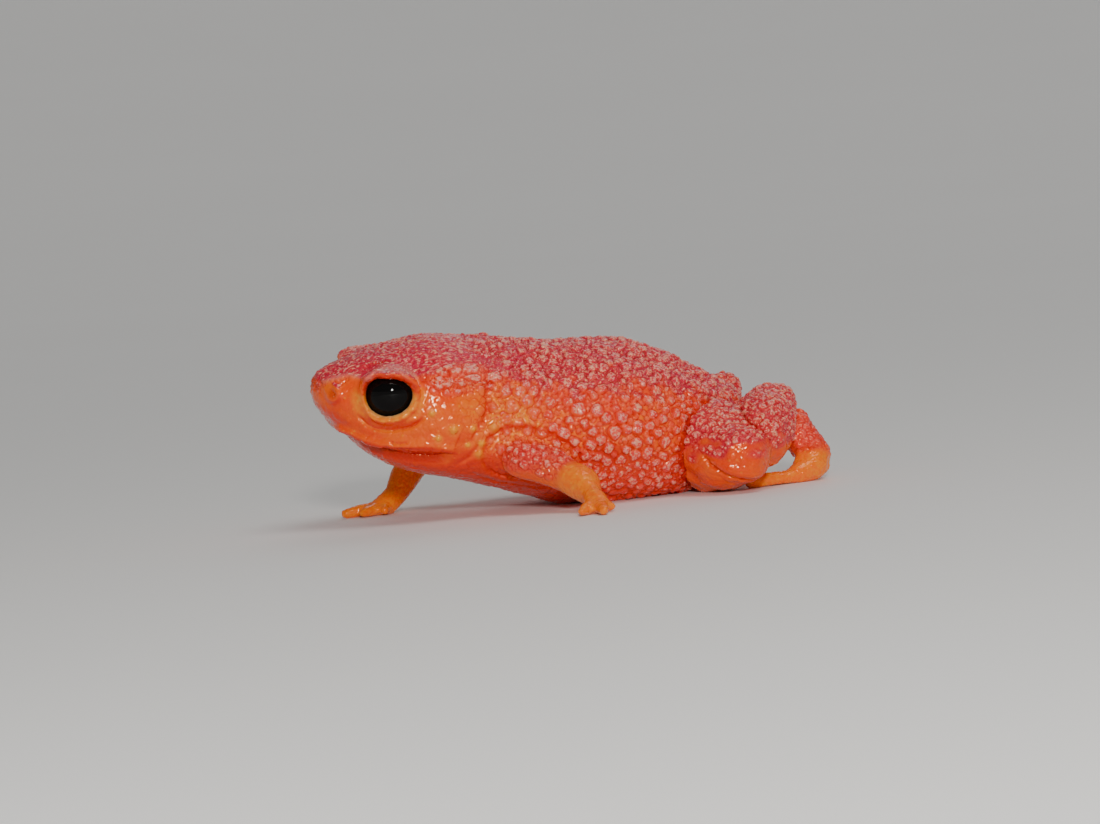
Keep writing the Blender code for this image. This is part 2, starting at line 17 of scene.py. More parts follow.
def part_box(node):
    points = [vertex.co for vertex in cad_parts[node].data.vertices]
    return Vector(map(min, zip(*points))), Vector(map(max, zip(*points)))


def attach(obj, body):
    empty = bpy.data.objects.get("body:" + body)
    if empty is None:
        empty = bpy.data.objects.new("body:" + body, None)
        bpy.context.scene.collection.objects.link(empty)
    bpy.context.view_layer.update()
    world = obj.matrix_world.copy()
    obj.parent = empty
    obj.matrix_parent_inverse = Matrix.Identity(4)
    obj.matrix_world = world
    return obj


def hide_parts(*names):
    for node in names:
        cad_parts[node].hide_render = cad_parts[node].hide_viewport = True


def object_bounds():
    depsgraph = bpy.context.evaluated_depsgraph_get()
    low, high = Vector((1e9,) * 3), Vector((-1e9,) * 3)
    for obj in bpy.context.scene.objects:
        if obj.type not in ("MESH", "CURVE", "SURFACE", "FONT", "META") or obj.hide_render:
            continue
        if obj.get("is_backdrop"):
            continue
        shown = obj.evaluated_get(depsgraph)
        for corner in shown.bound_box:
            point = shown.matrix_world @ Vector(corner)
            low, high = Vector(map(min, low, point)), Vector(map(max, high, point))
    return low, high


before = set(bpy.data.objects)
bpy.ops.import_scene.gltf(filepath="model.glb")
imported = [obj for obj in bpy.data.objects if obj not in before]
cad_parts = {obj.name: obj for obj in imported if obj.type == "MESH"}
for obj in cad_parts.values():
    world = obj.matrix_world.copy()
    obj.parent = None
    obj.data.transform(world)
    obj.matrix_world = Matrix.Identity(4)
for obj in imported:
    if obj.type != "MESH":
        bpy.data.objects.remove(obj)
cad_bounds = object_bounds()

MM = 0.001

# Flesh nodes, each with the node it grows from
LIMBS = (("upper_arm", "forearm", "hand"), ("thigh", "shank", "tarsus", "foot"))
ENDINGS = ("_left", "_right")
GROWS_FROM = {"head": "trunk"}
for limb in LIMBS:
    for ending in ENDINGS:
        parent = "trunk"
        for part in limb:
            GROWS_FROM[part + ending] = parent
            parent = part + ending
FLESH = ["trunk", *GROWS_FROM]

# Closing of the gaps between nodes
SEAM_REACH = 0.45
SEAM_OVERLAP = 1.5

# Grain of the skin before its last subdivision, and how it is smoothed
SKIN_GRAIN = 0.080
SMOOTH_ROUNDS = 26
SMOOTH_STEPS = (0.55, -0.58)
# The swelling round each eye is melted over these turns, in degrees from backward through upward, and over
# these distances from the eye's axis
CALM_ROUNDS = 60
CALM_STEP = 0.6
CALM_TURNS = (50, 80, 205, 245)
CALM_SPREADS = (0.96, 1.14, 1.60, 1.95)

# Lean of the body over its left side, as the solids have it
ROLL_AXIS = np.array((0, 0, 3.4))
HEAD_ROLL = radians(10)
RUMP_ROLL = radians(4)
ROLL_FROM_X = -6.0
ROLL_TO_X = 5.0

# Eyes, in the upright frame
EYE_RADIUS = 1.15
EYE_CENTRE = (-7.30, 1.66, 5.42)
EYE_FORWARD = radians(20)
EYE_UP = radians(4)

# Camera: the photo's angle, its roll, and where the design frame's origin lies in the picture of 1100 x 824
VIEW_AZIMUTH = radians(-15)
VIEW_ELEVATION = radians(3)
VIEW_ROLL = radians(5.2)
VIEW_DISTANCE = 122.2
VIEW_WIDTH = 44.0
PICTURE_WIDTH = 1100
PICTURE_HEIGHT = 824
ORIGIN_PIXEL = (571, 501)
LENS = 100
SENSOR = 36


def smoothstep(low, high, value):
    t = np.clip((value - low) / (high - low), 0, 1)
    return t * t * (3 - 2 * t)


def plateau(value, start, full, wane, end):
    """1 from full to wane, fading to 0 at start and end."""
    return smoothstep(start, full, value) * smoothstep(end, wane, value)


def bell(value, width):
    return np.exp(-((value / width) ** 2))


def mix(value, mask, target):
    return value + (target - value) * mask


def linked(name, data):
    """A new object in the scene."""
    obj = bpy.data.objects.new(name, data)
    bpy.context.scene.collection.objects.link(obj)
    return obj


# Frames

def roll_at(x):
    return HEAD_ROLL + (RUMP_ROLL - HEAD_ROLL) * smoothstep(ROLL_FROM_X, ROLL_TO_X, x)


def rolled(vectors, roll):
    """Vectors turned about the body's long axis, each by its own angle."""
    x, y, z = vectors.T
    return np.stack([x, y * np.cos(roll) - z * np.sin(roll), y * np.sin(roll) + z * np.cos(roll)], axis=1)


def leaned(points):
    """Points of the upright body, moved to where the leaning body has them."""
    points = np.atleast_2d(np.asarray(points, float))
    return rolled(points - ROLL_AXIS, roll_at(points[:, 0])) + ROLL_AXIS


def upright(points):
    """Points of the leaning body, moved to where the upright body has them."""
    return rolled(points - ROLL_AXIS, -roll_at(points[:, 0])) + ROLL_AXIS


def upright_directions(points, directions):
    return rolled(directions, -roll_at(points[:, 0]))


def eye_frame(side):
    """Centre, outward, forward and upward directions of an eye. side is -1 for the left."""
    across = cos(EYE_UP)
    outward = np.array((-sin(EYE_FORWARD) * across, side * cos(EYE_FORWARD) * across, sin(EYE_UP)))
    up = np.array((0, 0, 1)) - outward * outward[2]
    up /= np.linalg.norm(up)
    forward = np.cross(up, outward) * side
    lean = np.array(Matrix.Rotation(HEAD_ROLL, 3, "X"))
    centre = leaned(np.multiply(EYE_CENTRE, (1, side, 1)))[0]
    return centre, lean @ outward, lean @ forward, lean @ up


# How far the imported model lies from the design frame
eye_low, eye_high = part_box("eye_left")
SHIFT = (np.array(eye_low) + np.array(eye_high)) / 2 / MM - eye_frame(-1)[0]


# Base skin

def read_vectors(items, key):
    vectors = np.empty(len(items) * 3)
    items.foreach_get(key, vectors)
    return vectors.reshape(-1, 3)


def read_points(mesh):
    return read_vectors(mesh.vertices, "co")


def node_arrays(name):
    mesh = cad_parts[name].data
    return read_points(mesh) / MM - SHIFT, [tuple(polygon.vertices) for polygon in mesh.polygons]


def joined(pieces):
    """Points and faces of several pieces as those of one mesh."""
    corners, faces = [], []
    for points, piece_faces in pieces:
        start = len(corners)
        corners += points.tolist()
        faces += [tuple(i + start for i in face) for face in piece_faces]
    return corners, faces


SOLIDS = {name: node_arrays(name) for name in FLESH}
TREES = {name: BVHTree.FromPolygons(points.tolist(), faces) for name, (points, faces) in SOLIDS.items()}


def flesh_pieces():
    """Every flesh node's points and faces, each drawn past the gap to the node it grows from."""
    for name, (points, faces) in SOLIDS.items():
        drawn = points.copy()
        if name in GROWS_FROM:
            for i, point in enumerate(points):
                near = TREES[GROWS_FROM[name]].find_nearest(Vector(point), SEAM_REACH)[0]
                if near is not None:
                    drawn[i] += (np.array(near) - point) * SEAM_OVERLAP
        yield drawn, faces


def evaluated(obj):
    """Replaces the object's mesh by what its modifiers make of it."""
    bpy.context.view_layer.update()
    graph = bpy.context.evaluated_depsgraph_get()
    mesh = bpy.data.meshes.new_from_object(obj.evaluated_get(graph))
    obj.modifiers.clear()
    obj.data = mesh
    return mesh


def write_points(mesh, points):
    mesh.vertices.foreach_set("co", np.ascontiguousarray(points, dtype=np.float32).ravel())
    mesh.update()


class Neighbours:
    """Averages over each point's neighbours along the mesh's edges."""

    def __init__(self, mesh):
        edges = np.empty(len(mesh.edges) * 2, dtype=np.int64)
        mesh.edges.foreach_get("vertices", edges)
        edges = edges.reshape(-1, 2)
        self.tail = edges.T.ravel()
        self.head = edges[:, ::-1].T.ravel()
        self.count = len(mesh.vertices)
        self.degree = np.maximum(np.bincount(self.tail, minlength=self.count), 1)

    def mean(self, values):
        if values.ndim == 1:
            return np.bincount(self.tail, values[self.head], self.count) / self.degree
        return np.stack([self.mean(column) for column in values.T], axis=1)


def smooth_without_shrinking(points, neighbours, weight, rounds):
    """Rounds of smoothing, each followed by a swell that gives back what it shrank."""
    for _ in range(rounds):
        for factor in SMOOTH_STEPS:
            points = points + factor * weight[:, None] * (neighbours.mean(points) - points)
    return points


def base_skin():
    """One closed skin over all the flesh, smooth and still without its folds and warts."""
    mesh = bpy.data.meshes.new("skin")
    corners, faces = joined(flesh_pieces())
    mesh.from_pydata(corners, [], faces)
    skin = linked("skin", mesh)
    remesh = skin.modifiers.new("Fuse", "REMESH")
    remesh.mode = "VOXEL"
    remesh.voxel_size = SKIN_GRAIN
    mesh = evaluated(skin)
    points = read_points(mesh)
    around = Neighbours(mesh)
    weight = smoothing_weight(points)
    points = smooth_without_shrinking(points, around, weight, SMOOTH_ROUNDS)
    points = calm_round_eyes(points, around)
    write_points(mesh, points)
    finer = skin.modifiers.new("Finer", "SUBSURF")
    finer.levels = 1
    finer.render_levels = 1
    evaluated(skin)
    return skin


def calm_round_eyes(points, around):
    """Melts the swelling in front of each eye and above it into the head."""
    weight = np.zeros(len(points))
    for side in (-1, 1):
        reach, spread, out, turn = around_eye(points, side)
        near = plateau(turn, *CALM_TURNS) * (out > 0.2) * (reach < 2.4)
        weight = np.maximum(weight, near * plateau(spread, *CALM_SPREADS))
    for _ in range(CALM_ROUNDS):
        points = points + CALM_STEP * weight[:, None] * (around.mean(points) - points)
    return points


def smoothing_weight(points):
    """Full on the broad forms, less round the eyes and on the digits, which lie low and wide."""
    weight = np.ones(len(points))
    x, y, _ = upright(points).T
    for side in (-1, 1):
        centre, outward, _, _ = eye_frame(side)
        away = np.linalg.norm(points - centre - outward * 0.9, axis=1)
        weight = np.minimum(weight, 0.35 + 0.65 * smoothstep(0.9, 1.7, away))
    wide = smoothstep(3.9, 4.4, np.abs(y) + 1.6 * (x > 6.5))
    return weight * (1 - 0.6 * smoothstep(1.3, 0.5, points[:, 2]) * wide)


# Sculpting

# A distance to the side that is clear of the body
BESIDE = 12.0


class Clay:
    """The skin's points in design millimetres, with forms raised on them along their normals."""

    def __init__(self, skin):
        self.mesh = skin.data
        self.around = Neighbours(self.mesh)
        self.read()
        bpy.context.view_layer.update()
        self.tree = BVHTree.FromObject(skin, bpy.context.evaluated_depsgraph_get())

    def read(self):
        self.points = read_points(self.mesh)
        self.normals = read_vectors(self.mesh.vertex_normals, "vector")
        self.up = upright(self.points)
        self.rise = np.zeros(len(self.points))

    def apply(self):
        write_points(self.mesh, self.points + self.normals * self.rise[:, None])
        self.read()

    def within(self, corners, reach):
        """The points in the box round some corners, widened by a reach."""
        low, high = corners.min(axis=0) - reach, corners.max(axis=0) + reach
        return np.flatnonzero(np.all((self.points > low) & (self.points < high), axis=1))

    def on_side(self, route, side):
        """Upright (x, z) points put on the skin of one side, looking in from that side."""
        found = []
        for x, z in route:
            outer, inner = leaned(((x, side * BESIDE, z), (x, 0, z)))
            hit = self.tree.ray_cast(Vector(outer), Vector(inner - outer))[0]
            if hit is not None:
                found.append(hit)
        return smooth_path(np.array(found))

    def on_skin(self, route, side):
        """Leaning points of the left side put on the skin, or their mirror on the right side."""
        points = np.array(route, float)
        if side > 0:
            points = leaned(upright(points) * (1, -1, 1))
        return smooth_path(np.array([self.tree.find_nearest(Vector(p))[0] for p in points]))

    def near(self, path, reach):
        """The points near a path, their distance to it, how far along it they are, and how far above it."""
        chosen = self.within(path, reach)
        points = self.points[chosen]
        distance = np.full(len(points), np.inf)
        along, above = np.zeros((2, len(points)))
        for i, (start, end) in enumerate(zip(path, path[1:])):
            span = end - start
            t = np.clip((points - start) @ span / max(span @ span, 1e-9), 0, 1)
            offset = points - start - t[:, None] * span
            length = np.linalg.norm(offset, axis=1)
            closer = length < distance
            distance[closer] = length[closer]
            along[closer] = (i + t[closer]) / (len(path) - 1)
            above[closer] = offset[closer, 2]
        return chosen, distance, along, above

    def trace(self, path, width, fade=0.2, shift=0.0):
        """The points near a path and how strongly each belongs to it. shift moves the trace up from it."""
        chosen, distance, along, above = self.near(path, 3 * width + abs(shift))
        distance = np.abs(np.copysign(distance, above) - shift)
        ends = smoothstep(0, fade, along) * smoothstep(1, 1 - fade, along)
        return chosen, bell(distance, width) * ends

    def ridge(self, path, height, width, fade, shift=0.0):
        """Raises, or with a negative height sinks, the skin along a path."""
        chosen, strength = self.trace(path, width, fade, shift)
        self.rise[chosen] += height * strength

    def traced(self, route, width):
        """A mask that is 1 along a route on both sides of the body and fades away from it."""
        mask = np.zeros(len(self.points))
        for side in (-1, 1):
            chosen, strength = self.trace(self.on_side(route, side), width)
            mask[chosen] = np.maximum(mask[chosen], strength)
        return mask

    def from_spot(self, spot, side):
        """How far each point lies from an upright (x, height) spot on one side."""
        return np.linalg.norm(self.points - self.on_side((spot, spot), side)[0], axis=1)

    def past_joint(self, child, reach):
        """The points near a node's joint with its parent, and how far each lies on the node's side."""
        chosen = self.within(SOLIDS[child][0], reach)
        trees = (TREES[GROWS_FROM[child]], TREES[child])
        away = np.array([[far_from(tree, point, reach) for tree in trees] for point in self.points[chosen]])
        close = np.all(away < reach, axis=1)
        return chosen[close], away[close, 0] - away[close, 1]

    def softened(self, mask, rounds):
        """Values averaged over each point's neighbours, several times over."""
        for _ in range(rounds):
            mask = self.around.mean(mask)
        return mask

    def parts(self, rounds=14):
        """How much each point belongs to each node, softened over the joints."""
        corners, faces = joined(SOLIDS.values())
        owner = [name for name, (_, own_faces) in SOLIDS.items() for _ in own_faces]
        tree = BVHTree.FromPolygons(corners, faces)
        nearest = np.array([owner[tree.find_nearest(Vector(point))[2]] for point in self.points])
        masks = {}
        for name in FLESH:
            mask = self.softened((nearest == name).astype(float), rounds)
            key = name.removesuffix("_left").removesuffix("_right")
            masks[key] = masks.get(key, 0) + mask
        return masks


def far_from(tree, point, reach):
    distance = tree.find_nearest(Vector(point), reach)[3]
    return reach if distance is None else distance


def smooth_path(points, per_span=5):
    """A Catmull-Rom curve through points, as closely spaced points."""
    points = np.asarray(points, float)
    padded = np.vstack([2 * points[0] - points[1], points, 2 * points[-1] - points[-2]])
    spans = []
    t = np.linspace(0, 1, per_span, endpoint=False)[:, None]
    for i in range(len(points) - 1):
        a, b, c, d = padded[i:i + 4]
        squared = (2 * a - 5 * b + 4 * c - d) * t**2
        cubed = (3 * b - a - 3 * c + d) * t**3
        spans.append(0.5 * (2 * b + (c - a) * t + squared + cubed))
    return np.vstack([*spans, points[-1:]])


def wave_noise(points, wavelength, seed, waves=12):
    """Smooth noise of about unit strength: a sum of plane waves in random directions."""
    random = np.random.default_rng(seed)
    total = np.zeros(len(points))
    for _ in range(waves):
        direction = random.normal(size=3)
        direction /= np.linalg.norm(direction)
        length = wavelength * random.uniform(0.7, 1.5)
        total += np.sin(points @ direction * (2 * pi / length) + random.uniform(0, 2 * pi))
    return total / sqrt(waves / 2)


def fine_creases(points, wavelength, seed, stretch=(1, 1, 1)):
    """Thin wandering lines: 1 on a line, 0 away from it."""
    return bell(wave_noise(points / stretch, wavelength, seed), 0.30)


# Face and folds: routes as (x, height) in the upright frame, or as leaning points of the left side

MOUTH = (
    (-9.60, 4.02), (-9.18, 3.92), (-9.02, 3.85), (-8.76, 3.71), (-8.34, 3.53), (-7.70, 3.37), (-7.02, 3.28),
    (-6.33, 3.25), (-5.75, 3.22), (-5.20, 3.14),
)
MOUTH_CORNER_X = -5.15
JAWS_TOP = 5.2
# Upper lip and groove of the mouth: their height, how far above its line they lie, and their width
LIP = (0.060, 0.17, 0.13)
MOUTH_GROOVE = (-0.045, -0.03, 0.08)
JAW_SET_BACK = 0.26

LID_FOLD = (
    (-8.82, 4.90), (-8.70, 4.65), (-8.32, 4.31), (-7.70, 4.19), (-7.01, 4.30), (-6.57, 4.53), (-6.42, 4.80),
)
CANTHUS = ((-9.90, 5.84), (-9.66, 5.98), (-9.27, 6.10), (-8.75, 6.22), (-8.35, 6.27), (-8.05, 6.30))
CHEEK_CREASE = ((-7.95, 3.78), (-7.60, 3.70), (-7.28, 3.66), (-6.95, 3.78))
TEMPLE_RIDGE = ((-6.40, 6.20), (-5.70, 6.10), (-4.90, 6.02), (-4.20, 5.80))
NECK_GROOVE = ((-3.50, 6.25), (-3.62, 5.80), (-3.79, 5.30), (-3.85, 4.74), (-4.11, 4.30), (-4.45, 3.80))
JAW_FOLD = ((-5.60, 2.55), (-4.90, 2.85), (-4.40, 3.35), (-4.20, 3.95))
THIGH_CREASE = (
    (4.20, -4.45, 1.80), (4.58, -4.95, 1.10), (5.10, -5.38, 0.70), (5.84, -5.45, 0.50), (6.45, -5.10, 0.45),
)
# What runs along these routes: height, width, how much of each end fades, and how far above the route
FACE_FORMS = (
    (LID_FOLD, -0.09, 0.065, 0.25),
    (LID_FOLD, 0.05, 0.13, 0.30, 0.22),
    (CANTHUS, 0.06, 0.16, 0.20),
    (CHEEK_CREASE, -0.04, 0.06, 0.35),
    (TEMPLE_RIDGE, 0.12, 0.40, 0.30),
    (NECK_GROOVE, -0.14, 0.17, 0.30),
    (JAW_FOLD, -0.06, 0.11, 0.30),
)
THIGH_FORMS = ((-0.18, 0.09, 0.15), (0.10, 0.22, 0.20, 0.34))
# Grooves round the joints: node, how near its joint, the height below which they fade, and for each groove
# how far it lies on the node's side, its depth and its width
JOINT_GROOVES = (
    ("thigh", 1.2, 0.0, ((0.0, 0.26, 0.13), (-0.45, -0.06, 0.25))),
    ("shank", 1.0, 2.2, ((0.0, 0.10, 0.12),)),
    ("tarsus", 0.6, 0.0, ((0.0, 0.06, 0.12),)),
    ("upper_arm", 1.6, 0.0, (
        (0.05, 0.12, 0.10), (-0.20, -0.05, 0.14), (-0.48, 0.08, 0.09),
        (-0.70, -0.03, 0.14), (-1.05, 0.04, 0.10),
    )),
)

NOSTRIL = (-9.63, 5.62)
NOSTRIL_SIZE = (0.21, 0.50, 0.34)
NOSTRIL_RIM = 0.022
NOSTRIL_DEPTH = 0.24
# The swelling behind the eye: where, how wide and how high
PAROTOID = ((-4.35, 5.92), 0.62, 0.13)

# Yellow bumps on the cheek: where, how wide and how high
CHEEK_BUMPS = (
    ((-5.33, 4.10), 0.17, 0.10), ((-4.53, 4.06), 0.12, 0.06), ((-5.93, 3.82), 0.12, 0.06),
    ((-6.10, 4.80), 0.13, 0.07), ((-4.27, 3.45), 0.14, 0.08), ((-4.80, 3.45), 0.11, 0.05),
    ((-4.38, 3.06), 0.15, 0.10), ((-3.74, 4.02), 0.17, 0.09),
)

# Space between eye and lids in the solids, and what is left of it here
EYE_GAP = 0.14
LID_CLEARANCE = 0.012
# How much wider than in the solids the eye opens on every side, and more in front, behind and below
OPEN_ALL, OPEN_FORWARD, OPEN_BACKWARD, OPEN_DOWN = 0.11, 0.13, 0.04, 0.12
# What the opening is then scaled by in each direction, in degrees from backward through upward
LID_SHAPE = (
    (0, 0.97), (15, 1.03), (24, 1.03), (46, 0.96), (71, 0.93), (90, 0.90), (106, 0.93), (127, 1.02),
    (138, 1.07), (154, 1.07), (171, 1.00), (184, 0.96), (203, 0.93), (222, 0.94), (237, 0.93), (264, 0.91),
    (296, 0.88), (321, 0.88), (346, 0.91),
)
# Strength of the pale rim of the lids in each direction
PALE_RIM = ((0, 1.0), (35, 0.9), (65, 0.2), (85, 0.0), (190, 0.0), (210, 0.6), (270, 0.9), (360, 1.0))
# The brow's ridge over the eye: how far it lies from the eye's axis, its width, height and turns, and how far
# from the eye's centre it may reach
BROW_SPREAD = 1.11
BROW_WIDTH = 0.06
BROW_RISE = 0.05
BROW_TURNS = (35, 60, 135, 160)
BROW_REACH = 2.2


def around_eye(points, side):
    """How far points lie from an eye's centre and its axis, how far out along it, and on which turn."""
    centre, outward, forward, up = eye_frame(side)
    offset = points - centre
    ahead, high = offset @ forward, offset @ up
    turn = np.degrees(np.arctan2(high, -ahead) + VIEW_ROLL) % 360
    return np.linalg.norm(offset, axis=1), np.hypot(ahead, high), offset @ outward, turn


def on_brow(points, side):
    reach, spread, out, turn = around_eye(points, side)
    near = plateau(turn, *BROW_TURNS) * smoothstep(0.0, 0.3, out) * (reach < BROW_REACH)
    return bell(spread - BROW_SPREAD, BROW_WIDTH) * near


def settle_lids(clay):
    """Opens the lids to their full shape and draws their rims onto the eyes."""
    points = clay.points
    for side in (-1, 1):
        centre, outward, forward, up = eye_frame(side)
        reach, spread, out, turn = around_eye(points, side)
        chosen = np.flatnonzero((reach < EYE_RADIUS + 0.9) & (out > 0))
        reach, spread, out, turn = (values[chosen] for values in (reach, spread, out, turn))
        straight = out[:, None] * outward
        sideways = points[chosen] - centre - straight
        ahead, high = (sideways @ way / np.maximum(spread, 1e-6) for way in (forward, up))
        opening = OPEN_ALL + OPEN_FORWARD * np.maximum(ahead, 0) + OPEN_BACKWARD * np.maximum(-ahead, 0)
        opening += OPEN_DOWN * np.maximum(-high, 0)
        opening = (1 + opening) * np.interp(turn, *np.transpose(LID_SHAPE), period=360) - 1
        opening *= 1 - smoothstep(0.80, 1.70, spread)
        widened = straight + (1 + opening[:, None]) * sideways
        widened *= (reach / np.linalg.norm(widened, axis=1))[:, None]
        close = 1 - smoothstep(EYE_GAP + 0.02, 0.55, reach - EYE_RADIUS)
        settled = np.maximum(reach - (EYE_GAP - LID_CLEARANCE) * close, EYE_RADIUS + LID_CLEARANCE)
        points[chosen] = centre + widened * (settled / reach)[:, None]
    write_points(clay.mesh, points)
    clay.read()


def sculpt_face(clay):
    for side in (-1, 1):
        for route, *form in FACE_FORMS:
            clay.ridge(clay.on_side(route, side), *form)
        clay.rise += BROW_RISE * on_brow(clay.points, side)
        sculpt_nostril(clay, side)
        spot, radius, height = PAROTOID
        clay.rise += height * bell(clay.from_spot(spot, side), radius)
        for spot, radius, height in CHEEK_BUMPS:
            clay.rise += height * np.clip(1 - (clay.from_spot(spot, side) / radius) ** 2, 0, 1)
    sculpt_mouth(clay)


def below_mouth(clay):
    """The points of the jaws, and how far along the skin each lies above the line of the mouth."""
    x, _, z = clay.up.T
    chosen = np.flatnonzero((x < MOUTH_CORNER_X) & (z < JAWS_TOP))
    mouth_x, mouth_z = smooth_path(MOUTH).T
    x, z = x[chosen], z[chosen]
    steepness = np.interp(x, mouth_x, np.gradient(mouth_z, mouth_x))
    across = np.stack([-steepness, np.zeros(len(x)), np.ones(len(x))], axis=1)
    normals = upright_directions(clay.points[chosen], clay.normals[chosen])
    across -= normals * np.sum(across * normals, axis=1)[:, None]
    rate = np.ones(len(clay.points))
    rate[chosen] = np.maximum(np.linalg.norm(across, axis=1), 0.3)
    rate = clay.softened(rate, 12)
    return chosen, (z - np.interp(x, mouth_x, mouth_z)) / rate[chosen]


def sculpt_mouth(clay):
    """A rounded upper lip over a groove, with the lower jaw set back under it."""
    chosen, height = below_mouth(clay)
    fade = smoothstep(MOUTH_CORNER_X, MOUTH_CORNER_X - 0.7, clay.up[chosen, 0])
    forms = sum(rise * bell(height - place, width) for rise, place, width in (LIP, MOUTH_GROOVE))
    under_lip = smoothstep(0.05, -0.08, height) * bell(np.minimum(height + 0.10, 0), 0.45)
    at_tip = smoothstep(-8.9, -9.8, clay.up[chosen, 0])
    clay.rise[chosen] += fade * (forms - JAW_SET_BACK * under_lip * (1 - 0.45 * at_tip))


def from_nostril(clay, side):
    """How far each point lies from a nostril, 1 at its rim."""
    centre = clay.on_side((NOSTRIL, NOSTRIL), side)[0]
    offset = upright_directions(clay.points, clay.points - centre)
    return np.linalg.norm(offset / NOSTRIL_SIZE, axis=1)


def sculpt_nostril(clay, side):
    """An oval pit with a low rim, taller than it is long."""
    oval = from_nostril(clay, side)
    clay.rise += NOSTRIL_RIM * bell(oval - 1.25, 0.28) - NOSTRIL_DEPTH * smoothstep(1.05, 0.45, oval)


def sculpt_folds(clay):
    for side in (-1, 1):
        for form in THIGH_FORMS:
            clay.ridge(clay.on_skin(THIGH_CREASE, side), *form)
    for node, reach, above, grooves in JOINT_GROOVES:
        for ending in ENDINGS:
            sculpt_joint(clay, node + ending, reach, above, grooves)
    behind_head = smoothstep(-4.6, -3.6, clay.up[:, 0])
    clay.rise += 0.035 * behind_head * wave_noise(clay.points, 1.7, 3)


def sculpt_joint(clay, child, reach, above, grooves):
    """Grooves round a node's joint with the one it grows from."""
    chosen, past = clay.past_joint(child, reach)
    full = smoothstep(above - 1, above + 0.4, clay.points[chosen, 2])
    for place, depth, width in grooves:
        clay.rise[chosen] -= depth * full * bell(past - place, width)


# Warts

# Edge between the pink back and the orange sides, as (x, height) in the upright frame
PINK_EDGE = (
    (-10.3, 5.50), (-9.95, 5.60), (-9.80, 5.88), (-9.27, 5.98), (-8.84, 6.05), (-8.47, 6.16), (-7.70, 6.38),
    (-6.91, 6.28), (-6.11, 5.90), (-5.35, 5.82), (-4.60, 5.62), (-4.10, 5.52), (-3.74, 5.42), (-2.41, 5.25),
    (-1.53, 4.85), (0.0, 4.60), (2.0, 4.40), (4.0, 4.00), (6.0, 3.20), (7.5, 2.90),
)
# Wavelength and seeds of the wavering of this edge and of the pink of the legs and arms
WAVER_LENGTH = 0.8
EDGE_SEED, LEG_SEED, ARM_SEED = 11, 12, 13
OVER_EYE_TURNS = (30, 55, 125, 150)
HEAD_ENDS = (-4.3, -3.3)
# Ovals in the upright frame: middle and half-lengths, along x and upward
SHOULDER = ((-2.9, 4.35), (1.35, 0.95))
TEMPLE = ((-4.85, 5.90), (1.30, 0.50))
# Heights over which the legs turn from orange to pink
LEG_TURNS = (1.40, 1.98)
TARSUS_TURNS = (0.9, 1.7)


def off_oval(x, z, oval):
    """How far points lie from an oval's middle, 1 at its rim."""
    (middle_x, middle_z), (half_x, half_z) = oval
    return np.hypot((x - middle_x) / half_x, (z - middle_z) / half_z)


def above_pink_edge(clay):
    """How far each point lies above the wavering edge of the pink back."""
    x, _, z = clay.up.T
    edge_x, edge_z = smooth_path(PINK_EDGE).T
    ragged = 0.10 + 0.16 * smoothstep(-4.0, -2.5, x)
    above = z - np.interp(x, edge_x, edge_z) + ragged * wave_noise(clay.points, WAVER_LENGTH, EDGE_SEED)
    facing_up = upright_directions(clay.points, clay.normals)[:, 2]
    above += 1.2 * smoothstep(0.55, 0.90, facing_up) * smoothstep(-3.5, -4.5, x) * smoothstep(5.3, 5.8, z)
    for side in (-1, 1):
        reach, spread, out, turn = around_eye(clay.points, side)
        over_eye = plateau(turn, *OVER_EYE_TURNS) * (out > 0) * (reach < BROW_REACH)
        above += 0.8 * over_eye * smoothstep(1.14, 1.26, spread)
    return above


def lid_regions(clay):
    """The lids, their pale rims, and what lies lower than the middle of the eyes."""
    lids, margin, below_eye = np.zeros((3, len(clay.points)))
    for side in (-1, 1):
        reach, _, out, turn = around_eye(clay.points, side)
        outer, past_eye = out > 0, reach - EYE_RADIUS
        high = np.sin(np.radians(turn) - VIEW_ROLL)
        lids = np.maximum(lids, outer * smoothstep(0.62, 0.30, past_eye + 0.30 * smoothstep(0.0, 0.7, high)))
        rim = np.interp(turn, *np.transpose(PALE_RIM))
        margin = np.maximum(margin, outer * rim * bell(past_eye - 0.03, 0.05 + 0.08 * rim))
        below_eye = np.maximum(below_eye, outer * smoothstep(0.35, -0.10, high))
    return {"lids": lids, "margin": margin, "below_eye": below_eye}


